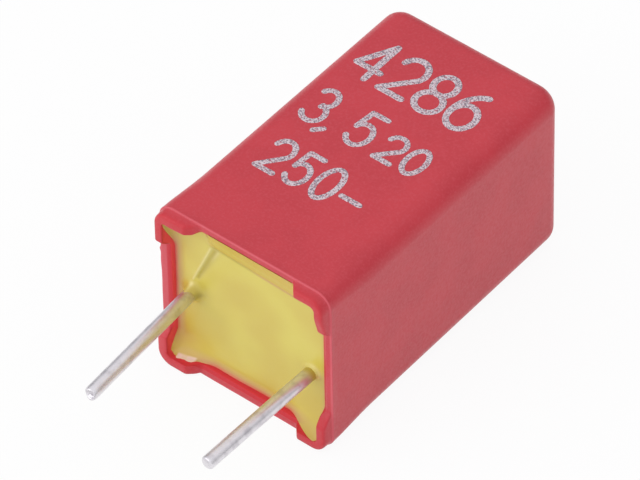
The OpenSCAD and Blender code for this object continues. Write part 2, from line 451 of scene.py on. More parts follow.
class Skin:
    """A closed skin in millimetres, grown ring by ring from marks that its vertices carry.

    A vertex's mark says where it stands in its ring: "across" is its place on the straight part of the
    outline, from -1 to 1 each way, and "facing" is the unit direction that the outline faces there.
    """

    def __init__(self) -> None:
        """Starts an empty skin."""
        self.bm: BMesh = bmesh.new()
        self.across = self.bm.verts.layers.float_vector.new("across")
        self.facing = self.bm.verts.layers.float_vector.new("facing")
        self.marks = [self.bm.verts.layers.float.new(name) for name in ("painted_rim_highlight", "inside", "root")]
        self.edges: list[BMEdge] = []

    def start_round(self, segments: int) -> None:
        """Starts from a disc with the given number of segments."""
        ring = bmesh.ops.create_circle(self.bm, cap_ends=True, segments=segments, radius=1)["verts"]
        for v in ring:
            v[self.across] = Vector((0, 0, 0))
            v[self.facing] = Vector((v.co.x, v.co.y, 0)).normalized()
        self.edges = list(self.bm.edges)

    def start_rounded_square(
        self, corner_steps: int, wall_steps: int, corner: float, warp: Callable[[float], float]
    ) -> None:
        """Starts from a face with rounded corners.

        Args:
            corner_steps: Segments round each corner.
            wall_steps: Segments along each side.
            corner: Part of half the side that a corner takes.
            warp: Moves a place along a side, from -1 to 1, to where detail is wanted.
        """
        bmesh.ops.create_grid(self.bm, x_segments=1, y_segments=1, size=1)
        bmesh.ops.bevel(
            self.bm, geom=self.bm.verts[:], offset=corner, affect="VERTICES", segments=corner_steps,
            profile=0.5, material=-1,
        )
        sides = [e for e in self.bm.edges if e.calc_length() > corner]
        bmesh.ops.subdivide_edges(self.bm, edges=sides, cuts=wall_steps - 1)
        flat = 1 - corner
        for v in self.bm.verts:
            near = Vector((max(-flat, min(flat, v.co.x)), max(-flat, min(flat, v.co.y)), 0))
            facing = (Vector((v.co.x, v.co.y, 0)) - near).normalized()
            v[self.across] = Vector((warp(near.x / flat), warp(near.y / flat), 0))
            v[self.facing] = facing
        self.edges = list(self.bm.edges)

    def settle(self, place: Place) -> None:
        """Puts the vertices of the open ring where their marks say."""
        for v in {v for e in self.edges for v in e.verts}:
            v.co = place(v[self.across], v[self.facing])

    def grow(self, place: Place, painted_rim_highlight: float = 0.0, inside: float = 0.0, root: float = 0.0) -> None:
        """Grows one more ring from the open one.

        Args:
            place: Where its vertices go.
            painted_rim_highlight: How strongly a painted highlight lies on it, along the mould seam and the
                rim's inner edge.
            inside: How far it lies inside the mouth of a moulding, out of the room's shine; it gets painted
                shade there as a deeper red.
            root: How much resin a wire carries there; its colour also paints the resin's reflection in the
                wire.
        """
        fresh, self.edges = extrude_ring(self.bm, self.edges)
        for v in fresh:
            for layer, value in zip(self.marks, (painted_rim_highlight, inside, root)):
                v[layer] = value
        self.settle(place)

    def close(self) -> None:
        """Closes the open ring with a face and turns every face outwards."""
        close_ring(self.bm, self.edges)


def write_piece(
    bm: BMesh, name: str, finish: bpy.types.Material, drop: Iterable[str] = ()
) -> bpy.types.Object:
    """Writes a bmesh in millimetres as an object in metres with its place in its mesh.

    Args:
        bm: The mesh, which is freed.
        name: Name of the piece.
        finish: Its material.
        drop: Names of the vector marks that the finished mesh doesn't keep.

    Returns:
        The new object.
    """
    for layer in drop:
        bm.verts.layers.float_vector.remove(bm.verts.layers.float_vector[layer])
    bmesh.ops.scale(bm, vec=(MM, MM, MM), verts=bm.verts[:])
    for face in bm.faces:
        face.smooth = True
    mesh = bpy.data.meshes.new(name)
    bm.to_mesh(mesh)
    bm.free()
    mesh.materials.append(finish)
    made = bpy.data.objects.new(name, mesh)
    bpy.context.scene.collection.objects.link(made)
    return made


# ------------------------------------------------------------------------------------------- sizes


@dataclass(frozen=True)
class BoxForm:
    """Outer and inner form of the case, shared by the case and by the resin in it.

    The sides draw in a little towards the closed end, and the long edges are tighter at the rim.
    """

    rim_y: float = -3.5034
    half_w: float = 3.6
    half_t: float = 3.6
    length: float = 12.3
    wall: float = 0.4
    end_wall: float = 0.5
    edge_r: float = 0.82
    rim_r: float = 0.6
    rim_zone: float = 2.2
    cavity_r: float = 0.2
    end_r: float = 0.62
    draft_w: float = 0.055
    draft_t: float = 0.09

    def top(self, depth: float) -> float:
        """Height of the upper side at a depth."""
        return 2 * self.half_t - self.draft_t * max(0.0, depth) / self.length

    def outline(self, across: Vector, facing: Vector, inset: float, radius: float, depth: float) -> Vector:
        """Point of a rounded outline that is inset from the sides of the case.

        Args:
            across: Place on the straight part of the outline, from -1 to 1 each way.
            facing: Unit direction that the outline faces there.
            inset: Distance in from the sides of the case.
            radius: Radius of the outline's corners.
            depth: Distance from the rim into the case.

        Returns:
            The point in millimetres.
        """
        half_w = self.half_w - self.draft_w * max(0.0, depth) / self.length
        half_t = self.top(depth) / 2
        x = across.x * (half_w - inset - radius) + facing.x * radius
        z = across.y * (half_t - inset - radius) + facing.y * radius
        return Vector((x, self.rim_y + depth, z + half_t))

    def radius_at(self, inset: float, depth: float) -> float:
        """Corner radius of an outline at an inset and a depth."""
        outer = mix(self.rim_r, self.edge_r, ease(depth, 0.0, self.rim_zone))
        return max(0.02, mix(outer, self.rim_r, ease(inset, 0.1, 0.3)) - inset)

    def wall_distance(self, x: float, z: float) -> float:
        """Distance from a point in the cavity to its nearest wall, corners included."""
        reach = self.half_w - self.wall - self.cavity_r
        dx, dz = abs(x) - reach, abs(z - self.half_t) - reach
        if dx > 0 and dz > 0:
            return self.cavity_r - math.hypot(dx, dz)
        return self.cavity_r - max(dx, dz)


@dataclass(frozen=True)
class FootLeg:
    """One leg of an L-shaped foot: where its tip ends and its flank meets the rim, and its thickness.

    Its shoulder says how far its outer face steps in from the case: 1 is the whole step, 0 is flush.
    Its dip says how much of its height is lost on the way from the corner to its tip.
    """

    tip: float
    root: float
    thick: float = 0.4
    shoulder: float = 1.0
    dip: float = 0.0

    def rise(self, distance: float) -> float:
        """How far the rim has risen into the leg at a distance from the corner, from 0 to 1."""
        crest = 1 - self.dip * ease(distance, 0.7, self.tip + 0.2)
        return crest * ramp(distance, self.root, self.tip, 0.15)


# One station of the rim's section: how far it is inset from the side and how deep it lies, first on
# the plain rim and then on a foot, then how strong its painted highlight is along the mould seam
# and the rim's edges, and how far in the mouth it lies, where it gets less shine and painted shade as a
# deeper red.
RimStation = tuple[float, float, float, float, float, float]

RIM_SECTION: tuple[RimStation, ...] = (
    (0.000, 0.300, 0.000, 0.300, 0.0, 0.0),
    (0.000, 0.075, 0.000, 0.075, 0.0, 0.0),
    (-0.003, 0.052, -0.003, 0.052, 0.0, 0.0),
    (-0.006, 0.034, -0.006, 0.034, 0.2, 0.0),
    (-0.001, 0.013, -0.001, 0.013, 0.5, 0.0),
    (0.012, 0.002, 0.012, 0.002, 0.75, 0.0),
    (0.028, -0.001, 0.027, -0.001, 0.75, 0.0),
    (0.044, 0.000, 0.042, -0.008, 0.6, 0.0),
    (0.058, 0.000, 0.052, -0.030, 0.5, 0.0),
    (0.072, 0.000, 0.060, -0.150, 0.3, 0.0),
    (0.082, 0.000, 0.070, -0.280, 0.2, 0.0),
    (0.092, 0.000, 0.080, -0.330, 0.1, 0.0),
    (0.106, 0.000, 0.100, -0.368, 0.0, 0.0),
    (0.126, 0.000, 0.130, -0.391, 0.0, 0.0),
    (0.156, 0.000, 0.170, -0.400, 0.0, 0.0),
    (0.196, 0.000, 0.250, -0.400, 0.0, 0.0),
    (0.226, 0.000, 0.330, -0.399, 0.0, 0.0),
    (0.244, 0.001, 0.366, -0.396, 0.15, 0.0),
    (0.258, 0.005, 0.386, -0.385, 0.35, 0.2),
    (0.280, 0.014, 0.396, -0.370, 0.0, 0.5),
    (0.375, 0.058, 0.400, -0.345, 0.0, 0.55),
    (0.392, 0.070, 0.400, -0.300, 0.0, 0.8),
    (0.399, 0.090, 0.400, -0.200, 0.0, 1.0),
    (0.400, 0.130, 0.400, -0.060, 0.0, 1.0),
    (0.400, 0.280, 0.400, 0.120, 0.0, 1.0),
    (0.400, 0.420, 0.400, 0.420, 0.0, 1.0),
)


@dataclass
class MouldedCase:
    """The open moulded case with its four stand-off feet, in one piece."""

    form: BoxForm
    corner_steps: int = 18
    wall_steps: int = 128
    wall_rings: int = 18
    end_steps: int = 9
    end_sink: float = 0.02
    floor_r: float = 0.5
    floor_steps: int = 5
    burr_z: float = 4.98
    burr_out: float = 0.05
    # The four feet's legs, by corner (side of X, side of Z) and by the axis that the leg runs along.
    legs: tuple[tuple[tuple[int, int, str], FootLeg], ...] = (
        ((-1, 1, "x"), FootLeg(1.33, 1.75, 0.50, 1.0, 0.1)), ((-1, 1, "z"), FootLeg(1.44, 1.80)),
        ((1, 1, "x"), FootLeg(1.24, 1.56, 0.41)), ((1, 1, "z"), FootLeg(1.61, 1.75, 0.42, 1.0, 0.5)),
        ((-1, -1, "x"), FootLeg(1.20, 1.62, 0.42, 0.4)), ((-1, -1, "z"), FootLeg(1.25, 1.62, 0.42, 0.5)),
        ((1, -1, "x"), FootLeg(1.24, 1.58, 0.4, 0.7)), ((1, -1, "z"), FootLeg(1.24, 1.80, 0.42)),
    )

    @staticmethod
    def crowd(t: float) -> float:
        """Draws places along a side towards the flanks of the feet."""
        return t + 0.13 * math.sin(math.pi * t) * (1 - 0.35 * math.cos(TURN * t)) * 0.6

    def foot(self, across: Vector, facing: Vector) -> tuple[float, float, float]:
        """Reads the feet at one place on the outline.

        Args:
            across: Place on the straight part of the outline, from -1 to 1 each way.
            facing: Unit direction that the outline faces there.

        Returns:
            How far the rim has risen into a foot, from 0 to 1, and the foot's thickness and shoulder.
        """
        at = self.form.outline(across, facing, 0, self.form.rim_r, 0)
        side = (1 if at.x > 0 else -1, 1 if at.z > self.form.half_t else -1)
        legs = dict(self.legs)
        along_x, along_z = legs[(*side, "x")], legs[(*side, "z")]
        share = facing.y ** 2
        thick = mix(along_z.thick, along_x.thick, share)
        shoulder = mix(along_z.shoulder, along_x.shoulder, share)
        if abs(facing.x) > 1e-4 and abs(facing.y) > 1e-4:
            return 1.0, thick, shoulder
        if share > 0.5:
            return along_x.rise(self.form.half_w - abs(at.x)), thick, shoulder
        return along_z.rise(self.form.half_t - abs(at.z - self.form.half_t)), thick, shoulder

    def rim_place(self, station: RimStation) -> Place:
        """Placement of one ring of the rim's section."""
        plain_in, plain_deep, foot_in, foot_deep = station[:4]
        near_edge = bell(plain_deep if plain_in < 0.03 else 1.0, 0.09)

        def place(across: Vector, facing: Vector) -> Vector:
            """Point of this ring at one place on the outline."""
            rise, thick, shoulder = self.foot(across, facing)
            on_foot = foot_in * mix(shoulder, 1.0, ease(foot_in, 0.08, 0.25))
            on_foot += (thick - self.form.wall) * ease(foot_in, 0.25, 0.39) * ramp(foot_deep, 0.1, -0.1)
            inset = mix(plain_in, on_foot, ease(rise, 0.0, 0.5))
            depth = mix(plain_deep, foot_deep, rise)
            at = self.form.outline(across, facing, inset, self.form.radius_at(inset, depth), depth)
            if near_edge > 0.01:
                rough = wander(at.x, 3.0, at.z, 0.9) * 0.012 + wander(at.x, 7.0, at.z, 0.3) * 0.006
                burr = self.burr_out * bell(at.z - self.burr_z, 0.1) if facing.x < -0.5 else 0.0
                slump = 0.02 * bell(at.z - 4.4, 0.35) if facing.x < -0.5 else 0.0
                under = 0.0 if facing.y > -0.5 else 0.5
                push = (rough * 0.6 - 0.01 * under) + burr + slump
                at += Vector((facing.x, 0, facing.y)) * push * near_edge
            at.y += wander(at.x, 11.0, at.z, 1.1) * 0.008 * (1 - rise)
            at.z = max(0.0, at.z)
            return at

        return place

    def plain_place(self, inset: float, depth: float) -> Place:
        """Placement of a plain ring."""
        radius = self.form.radius_at(inset, depth)
        return lambda across, facing: self.form.outline(across, facing, inset, radius, depth)

    def outer_end_place(self, inset: float, depth: float) -> Place:
        """Placement of a ring on the closed end, whose corners shrink with its inset."""
        radius = max(0.04, self.form.edge_r - inset)
        return lambda across, facing: self.form.outline(across, facing, inset, radius, depth)

    def skin(self) -> Skin:
        """Grows the case from the middle of its closed end, over the rim and into the cavity."""
        form, made = self.form, Skin()
        made.start_rounded_square(
            self.corner_steps, self.wall_steps, form.rim_r / form.half_w, self.crowd
        )
        made.settle(self.outer_end_place(form.half_w - 0.1, form.length - self.end_sink))
        for inset in (3.2, 2.6, 2.0, 1.5, 1.1, 0.85):
            sink = self.end_sink * ease(inset, 0.8, 2.8)
            made.grow(self.outer_end_place(inset, form.length - sink))
        for i in range(self.end_steps + 1):
            turn = math.pi / 2 * i / self.end_steps
            made.grow(self.outer_end_place(
                form.end_r * (1 - math.sin(turn)), form.length - form.end_r * (1 - math.cos(turn))
            ))
        top, low = form.length - form.end_r, RIM_SECTION[0][1]
        for i in range(1, self.wall_rings):
            made.grow(self.plain_place(0, mix(low, top, (1 - i / self.wall_rings) ** 1.7)))
        for station in RIM_SECTION:
            made.grow(self.rim_place(station), station[4], station[5])
        floor = form.length - form.end_wall
        for depth in (0.8, 3.0, 6.0, 9.0, floor - self.floor_r):
            made.grow(self.plain_place(form.wall, depth))
        for i in range(1, self.floor_steps + 1):
            turn = math.pi / 2 * i / self.floor_steps
            made.grow(self.plain_place(
                form.wall + self.floor_r * (1 - math.cos(turn)), floor - self.floor_r * (1 - math.sin(turn))
            ))
        for inset in (1.6, 2.6, 3.4):
            made.grow(self.plain_place(inset, floor))
        made.close()
        return made

    def build(self) -> bpy.types.Object:
        """Builds the case as one closed piece."""
        bm = self.skin().bm
        painted_rim_highlight, inside = (bm.verts.layers.float[name] for name in ("painted_rim_highlight", "inside"))
        glow = bm.verts.layers.float.new("glow")
        left = self.form.wall - self.form.half_w
        for v in bm.verts:
            x, y, z = v.co
            v[glow] = max(0.0, 2 * v[inside] - 1) * mix(1.0, 0.45, ease(x, left - 0.02, left + 0.15))
            v[glow] *= ease(x, -left - 0.02, -left - 0.15)
            deep = y - self.form.rim_y
            # Painted shade on the feet: a deeper red with less shine, fading out over their lowest 0.3 mm.
            v[inside] = max(v[inside], 0.35 * ease(deep, -0.03, -0.25) * ease(z, 0.0, 0.3))
            # The painted highlight fades off the feet, and the end face of the left wall gets a weaker one.
            v[painted_rim_highlight] *= 1 - 0.85 * ease(deep, -0.004, -0.03)
            if deep < 0.02 and x < left:
                v[painted_rim_highlight] = max(v[painted_rim_highlight], 0.35 * ease(x, left, left - 0.15) * ease(z, 5.9, 5.5))
        made = write_piece(bm, "moulded_case", FinishKind.CASE.value.material(), ("across", "facing"))
        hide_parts("case")
        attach(made, BODY)
        return made


@dataclass(frozen=True)
class CornerClimb:
    """How far the resin climbs into one corner of the case, and how far it reaches along the walls."""

    side_x: int
    side_z: int
    lift: float
    reach_x: float
    reach_z: float


@dataclass(frozen=True)
class Stain:
    """A soft round stain on the resin's face."""

    x: float
    z: float
    size: float
    strength: float


@dataclass
class PottingResin:
    """The cast resin: its face, its flood over the printed side's rim, and its climb up the corners."""

    form: BoxForm
    leads: tuple[tuple[float, float], ...]
    steps: int = 200
    crowding: float = 0.35
    drop: float = 0.35
    climb: float = 0.10
    climb_w: float = 0.3
    fade: float = 0.24
    flood_line: float = 5.905
    flood_tilt: float = -0.0415
    flood_left: float = -1.78
    flood_right: float = 2.05
    flood_over: float = 0.11
    ridges: tuple[tuple[tuple[float, float], tuple[float, float]], ...] = (
        ((-2.50, 4.00), (-1.70, 5.95)), ((-2.20, 4.30), (-1.33, 6.0)),
    )
    climbs: tuple[CornerClimb, ...] = (
        CornerClimb(-1, 1, 0.58, 1.2, 1.7), CornerClimb(1, 1, 0.20, 0.8, 0.9),
        CornerClimb(-1, -1, 0.48, 1.7, 0.95), CornerClimb(1, -1, 0.62, 1.75, 1.5),
    )
    stains: tuple[Stain, ...] = (
        Stain(-1.81, 6.46, 0.13, 0.4), Stain(2.76, 2.72, 0.13, 0.3), Stain(-2.75, 1.05, 0.35, 0.22),
    )
    flake: tuple[float, float] = (-2.95, -2.28)
    lead_r: float = 0.25
    mouth_top: float = 6.8

    def flood(self, x: float) -> float:
        """How far the resin floods the rim at x, from 0 to 1."""
        return ease(x, self.flood_left - 0.25, self.flood_left + 0.3) * ease(
            x, self.flood_right + 0.06, self.flood_right - 0.1
        )

    def flake_at(self, x: float) -> float:
        """How much of the torn flake stands at x, with a ragged edge."""
        low, high = self.flake
        ragged = 0.75 + 0.8 * wander(x, 1.0, 4.0, 0.16)
        return ease(x, low - 0.03, low + 0.06) * ease(x, high + 0.05, high - 0.12) * ragged

    def corner_lift(self, x: float, z: float) -> float:
        """How far the corners lift the resin at one place."""
        form = self.form
        half, middle = form.half_w - form.wall, form.half_t
        lift = 0.0
        for climb in self.climbs:
            u = max(0.0, half - climb.side_x * x)
            w = max(0.0, half - climb.side_z * (z - middle))
            near = ease(u, climb.reach_x, 0.15) * ease(w, climb.reach_z, 0.1)
            lift += climb.lift * near * math.exp(-u * w / (u + w + 0.001) / self.fade)
        return lift

    def depth(self, x: float, z: float) -> float:
        """Depth of the resin's face below the rim at one place."""
        distance = self.form.wall_distance(x, min(z, self.mouth_top))
        flood = self.flood(x)
        line = self.flood_line + self.flood_tilt * x
        deep = self.drop + 0.012 * wander(x, 0.0, z, 2.2)
        wetting = self.climb * (1 - ramp(distance, 0.0, self.climb_w)) ** 2
        wetting *= 1 + 0.25 * wander(x, 5.0, z, 0.8)
        wetting += self.corner_lift(x, z)
        bottom = max(0.0, z - self.form.wall)
        wetting += 0.16 * self.flake_at(x) * (1 - ramp(bottom, 0.0, 0.05))
        over = mix(self.drop + 0.015, 0.0, ramp(z, line, 6.93, 0.02))
        if z > 6.75:
            over -= 0.012 * ease(z, 6.8, 6.9)
        slope = flood * ease(z, line - 0.08, line + 0.03)
        deep = mix(deep - wetting, min(deep + 0.01, over), slope)
        first, second = (segment_distance(x, z, *ridge) for ridge in self.ridges)
        fade = 1 - ease(z, 5.85, 6.1)
        deep -= 0.034 * bell(first, 0.05) * fade
        deep -= 0.022 * bell(second, 0.06) * fade * ease(z, 4.6, 5.6)
        deep += 0.03 * self.hollow(x, z)
        for i, (lx, lz) in enumerate(self.leads):
            away = math.hypot(x - lx, z - lz) - self.lead_r
            angle = math.atan2(z - lz, x - lx)
            lift = 0.16 * math.exp(-max(0.0, away) / 0.06)
            if i == 0:
                lift = 0.38 * math.exp(-max(0.0, away) / 0.09) * (0.85 + 0.4 * bell(angle - 1.75, 0.4))
                deep += 0.03 * bell(math.hypot(x - lx - 0.42, z - lz + 0.02), 0.12)
            deep -= lift
        return deep

    def hollow(self, x: float, z: float) -> float:
        """How deep one place lies in the wedge between the two ridges, from 0 to 1."""
        (a0, a1), (b0, b1) = self.ridges
        middle = ((a0[0] + b0[0]) / 2 + 0.03, (a0[1] + b0[1]) / 2), ((a1[0] + b1[0]) / 2 + 0.02, a1[1])
        widen = mix(0.08, 0.17, ramp(z, 4.1, 5.9))
        return bell(segment_distance(x, z, *middle), widen) * (1 - ease(z, 5.8, 6.05))

    def marks(self, x: float, z: float) -> tuple[float, float, float, float, float]:
        """Marks of the face at one place: stained edge with painted shade along the flood's crease, a darker
        orange-yellow that is painted shade on the flood's slope, painted shade in hollows, painted
        highlights, torn flake.
        """
        distance = self.form.wall_distance(x, z)
        flood = self.flood(x) * ease(z, 5.5, 6.0)
        bottom = max(0.0, z - self.form.wall)
        raised = min(1.0, self.corner_lift(x, z) / 0.3)
        film = 0.5 * (1 - ease(distance, 0.0, 0.15)) * (1 - raised)
        film += 0.42 * (1 - ease(distance, 0.04, 0.45)) * (1 - 0.4 * raised)
        film *= 1 - flood
        line = self.flood_line + self.flood_tilt * x
        # Painted shade along the crease at the foot of the flood's slope, tan to the right and darker to the
        # left.
        edge = self.flood(x) * bell(z - line, 0.055)
        film += 0.55 * edge * ease(x, -0.6, 0.6) + 0.6 * flood * ease(z, 6.70, 6.90)
        film += sum(s.strength * bell(math.hypot(x - s.x, z - s.z), s.size) for s in self.stains)
        # Painted shade on the flood's slope; a darker orange-yellow in the lower left corner and towards the
        # bottom.
        amber_and_slope_shade = 0.75 * flood * ease(z, line - 0.02, line + 0.05) * (1 - 0.5 * bell(z - line - 0.35, 0.12))
        amber_and_slope_shade += 0.4 * bell(math.hypot((x + 3.0) / 1.3, z - 0.9), 0.55) + 0.12 * ease(z, 2.2, 0.8)
        # Painted shade: in the wedge between the ridges, along the crease, beside the left lead's root and
        # in the upper left corner.
        painted_shade_olive = 0.8 * self.hollow(x, z) + 0.75 * edge * ease(x, 0.6, -0.4)
        (lx, lz), (rx, rz) = self.leads
        painted_shade_olive += 0.95 * bell(math.hypot(x - lx - 0.28, z - lz - 0.04), 0.1)
        painted_shade_olive += 0.5 * bell(math.hypot(x - lx - 0.32, z - lz - 0.15), 0.36)
        painted_shade_olive += 0.5 * raised * (1 - ease(distance, 0.0, 0.3)) * ease(z, 4.8, 5.4) * ease(x, 0.0, -0.5)
        first, second = (segment_distance(x, z, *ridge) for ridge in self.ridges)
        fade = 1 - ease(z, 5.8, 6.05)
        # Painted highlights: the ridge crests, the lit top of the left lead's collar and an arc round the
        # right lead's root.
        pale = 0.6 * bell(first, 0.05) * fade
        pale += 0.35 * bell(second, 0.07) * fade * ease(z, 5.0, 5.7)
        pale += 0.8 * bell(math.hypot(x - lx + 0.04, z - lz - 0.36), 0.08)
        from_right = math.hypot(x - rx, z - rz)
        pale += 0.8 * bell(math.hypot(x - rx - 0.1, z - rz), 0.34) * bell(from_right - 0.31, 0.04)
        torn = min(1.0, 1.5 * self.flake_at(x)) * (1 - ease(bottom, 0.05, 0.11))
        film = min(1.0, film) * (1 - 0.6 * torn)
        return film, min(1.0, amber_and_slope_shade), min(1.0, painted_shade_olive), min(1.0, pale), torn

    def build(self) -> bpy.types.Object:
        """Builds the resin as one closed piece."""
        form = self.form
        bm = bmesh.new()
        layers = [bm.verts.layers.float.new(name) for name in ("film", "amber_and_slope_shade", "painted_shade_olive", "pale", "torn")]
        base = bm.verts.layers.float_vector.new("base")
        bmesh.ops.create_grid(bm, x_segments=self.steps, y_segments=self.steps, size=1)
        reach = form.half_w - form.wall
        flat = reach - form.cavity_r
        for v in bm.verts:
            x, z = (reach * t * (1 + self.crowding * (1 - t * t)) for t in v.co.xy)
            dx, dz = max(0.0, abs(x) - flat), max(0.0, abs(z) - flat)
            if dx > 0 and dz > 0:
                span = 2 * form.cavity_r ** 2
                bent_x, bent_z = dx * math.sqrt(1 - dz * dz / span), dz * math.sqrt(1 - dx * dx / span)
                x, z = math.copysign(flat + bent_x, x), math.copysign(flat + bent_z, z)
            z += form.half_t
            v[base] = Vector((x, z, 0))
            over = z + self.flood_over * self.flood(x) * ease(z, 6.2, self.mouth_top)
            v.co = Vector((x, form.rim_y + self.depth(x, over), over))
            for layer, value in zip(layers, self.marks(x, over if over > self.mouth_top else z)):
                v[layer] = value
        edges = [e for e in bm.edges if e.is_boundary]

        def grow(place: Callable[[float, float, float], Vector]) -> None:
            """Grows one ring of the resin's side from its open edge."""
            nonlocal edges
            fresh, edges = extrude_ring(bm, edges)
            for v in fresh:
                x, z, _ = v[base]
                on_top = 1.0 if z > 6.79 else 0.0
                v.co = place(x, z, self.flood(x) * on_top)

        def lip(out: float, depth: float, flooded: float) -> Callable[[float, float, float], Vector]:
            """Ring of the flood's underside, which follows the rim and its chamfer."""
            return lambda x, z, flood: Vector(
                (x, form.rim_y + mix(depth, flooded, flood), z + out * flood)
            )

        def well(depth: float, shrink: float = 1.0) -> Callable[[float, float, float], Vector]:
            """Ring of the resin's side in the cavity, which draws in with the case."""
            narrow = shrink * (1 - form.draft_w * depth / form.length / reach)
            low = shrink * (1 - form.draft_t * depth / form.length / (2 * reach))
            sunk = form.draft_t * depth / form.length / 2
            return lambda x, z, flood: Vector(
                (x * narrow, form.rim_y + depth, form.half_t - sunk + (z - form.half_t) * low)
            )

        grow(lip(self.flood_over + 0.003, 0.37, 0.003))
        grow(lip(self.flood_over - 0.04, 0.38, 0.03))
        grow(lip(0.02, 0.40, 0.08))
        grow(lip(0.0, 0.45, 0.3))
        floor = form.length - form.end_wall - 0.01
        for depth in (0.8, 4.0, 8.0, floor - 0.5):
            grow(well(depth))
        grow(well(floor - 0.12, 0.97))
        for shrink in (0.93, 0.6, 0.25, 0.02):
            grow(well(floor, shrink))
        close_ring(bm, edges)
        made = write_piece(bm, "cast_resin", FinishKind.RESIN.value.material(), ("base",))
        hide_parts("potting_resin")
        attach(made, BODY)
        return made


class Tip(Enum):
    """How a lead was cut off."""

    HOOKED = "sheared square, with a lip and a side that curls down"
    ROUNDED = "sheared and rounded off"


@dataclass
class WireLead:
    """One tinned wire lead, from its weld on the winding to its sheared tip."""

    name: str
    node: str
    form: BoxForm
    x: float
    z: float
    direction: Vector
    free_len: float
    tip: Tip
    sag: float = 0.0
    radius: float = 0.25
    weld_depth: float = 6.5
    bend_depth: float = 0.13
    bend_len: float = 0.24
    resin_from: float = 0.0
    resin_to: float = 0.45
    tip_len: float = 0.42
    cut_back: float = 0.06
    segments: int = 56
    steps: int = 60

    def centre(self, s: float) -> Vector:
        """Point of the wire's axis at a signed distance from its bend."""
        bend = Vector((self.x, self.form.rim_y + self.bend_depth, self.z))
        inward, outward = Vector((0, -1, 0)), self.direction.normalized()
        if s <= -self.bend_len:
            return bend + inward * s
        if s >= self.bend_len:
            t = (s - self.bend_len) / (self.free_len - self.bend_len)
            return bend + outward * s - Vector((0, 0, self.sag)) * t * t
        t = (s + self.bend_len) / (2 * self.bend_len)
        start, end = bend - inward * self.bend_len, bend + outward * self.bend_len
        return start * (1 - t) ** 2 + bend * 2 * t * (1 - t) + end * t ** 2

    def ring(self, s: float, radius: float, push: Callable[[Vector], float] | None = None) -> Place:
        """Placement of a ring round the axis.

        Args:
            s: Signed distance of the ring from the bend.
            radius: Radius of the ring.
            push: How far each vertex moves along the wire, from its direction in the ring.

        Returns:
            The placement.
        """
        at = self.centre(s)
        along = (self.centre(s + 0.01) - self.centre(s - 0.01)).normalized()
        side = along.cross(Vector((0, 0, 1))).normalized()
        up = side.cross(along).normalized()

        def place(across: Vector, facing: Vector) -> Vector:
            """Point of this ring in one direction round the wire."""
            dent = 1 + 0.012 * wander(facing.x, facing.y * 1.3, s * 0.8, 0.6)
            point = at + (side * facing.x + up * facing.y) * radius * dent
            return point + along * (push(facing) if push else 0.0)

        return place

    def skin(self) -> Skin:
        """Grows the wire from its inner end to its tip."""
        made = Skin()
        made.start_round(self.segments)
        inner = -(self.weld_depth - self.bend_depth)
        made.settle(self.ring(inner, self.radius - 0.05))
        made.grow(self.ring(inner + 0.02, self.radius - 0.015))
        made.grow(self.ring(inner + 0.05, self.radius))
        for i in range(1, 8):
            made.grow(self.ring(mix(inner, -self.bend_len, i / 7), self.radius))
        last = self.free_len - self.tip_len
        places = [mix(-self.bend_len, self.bend_len, i / 12) for i in range(1, 13)]
        places += [mix(self.bend_len, last, i / self.steps) for i in range(1, self.steps + 1)]
        for s in places:
            made.grow(self.ring(s, self.radius), root=1 - ease(s, self.resin_from, self.resin_to))
        if self.tip is Tip.HOOKED:
            self.hooked_tip(made)
        else:
            self.rounded_tip(made)
        made.close()
        return made

    def hooked_tip(self, made: Skin) -> None:
        """Ends the wire in a slanting shear: the lower side curls out into a thin lip."""
        end, r = self.free_len - self.cut_back, self.radius

        def low(facing: Vector) -> float:
            """1 on the lower right side of the wire, 0 on its upper left side."""
            return ease(-facing.y * 0.8 - facing.x * 0.6, -0.5, 1.0)

        def slant(facing: Vector) -> float:
            """How far the slanting cut reaches along the wire on one side of it."""
            return 0.05 * (facing.x * 0.45 + facing.y * 0.9)

        for back, narrow, lip, lean in (
            (0.30, 0.0, 0.0, 0.0), (0.22, 0.0, 0.01, 0.3), (0.15, 0.002, 0.03, 0.7),
            (0.10, 0.008, 0.06, 1.0), (0.06, 0.016, 0.09, 1.0), (0.03, 0.028, 0.12, 1.0),
            (0.012, 0.046, 0.14, 1.0), (0.006, 0.066, 0.14, 1.0),
        ):
            made.grow(self.ring(
                end - back, r - narrow * 0.7, lambda f: lip * low(f) + lean * slant(f)
            ))
        for back, size, lip in (
            (0.02, 0.66, 0.07), (0.035, 0.56, 0.0), (0.03, 0.4, -0.01), (0.034, 0.25, 0.0), (0.03, 0.1, 0.0)
        ):
            made.grow(self.ring(
                end - back, r * size,
                lambda f: lip * low(f) + size * slant(f) + 0.022 * wander(f.x * size, f.y * size, 2.0, 0.3),
            ))

    def rounded_tip(self, made: Skin) -> None:
        """Ends the wire in a rounded shear with a shallow crescent step across it."""
        end, r = self.free_len, self.radius
        for i in range(9):
            turn = math.pi / 2 * i / 8
            made.grow(self.ring(end - 0.1 * (1 - math.sin(turn)), r - 0.09 * (1 - math.cos(turn))))
        for size in (0.58, 0.5, 0.4, 0.3, 0.2, 0.1, 0.04):
            made.grow(self.ring(
                end, r * size, lambda f: 0.016 * ease(f.x * size, 0.05, 0.3) - 0.014 * (1 - size)
            ))

    def build(self) -> bpy.types.Object:
        """Builds the lead as one closed piece."""
        made = write_piece(self.skin().bm, self.name, FinishKind.WIRE.value.material(), ("across", "facing"))
        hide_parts(self.node)
        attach(made, BODY)
        return made


Stroke = list[tuple[float, float]]


def arc(cx: float, cy: float, rx: float, ry: float, start: float, end: float, steps: int = 18) -> Stroke:
    """Points of an elliptical arc, with its angles in degrees."""
    turns = (math.radians(mix(start, end, i / steps)) for i in range(steps + 1))
    return [(cx + rx * math.cos(t), cy + ry * math.sin(t)) for t in turns]


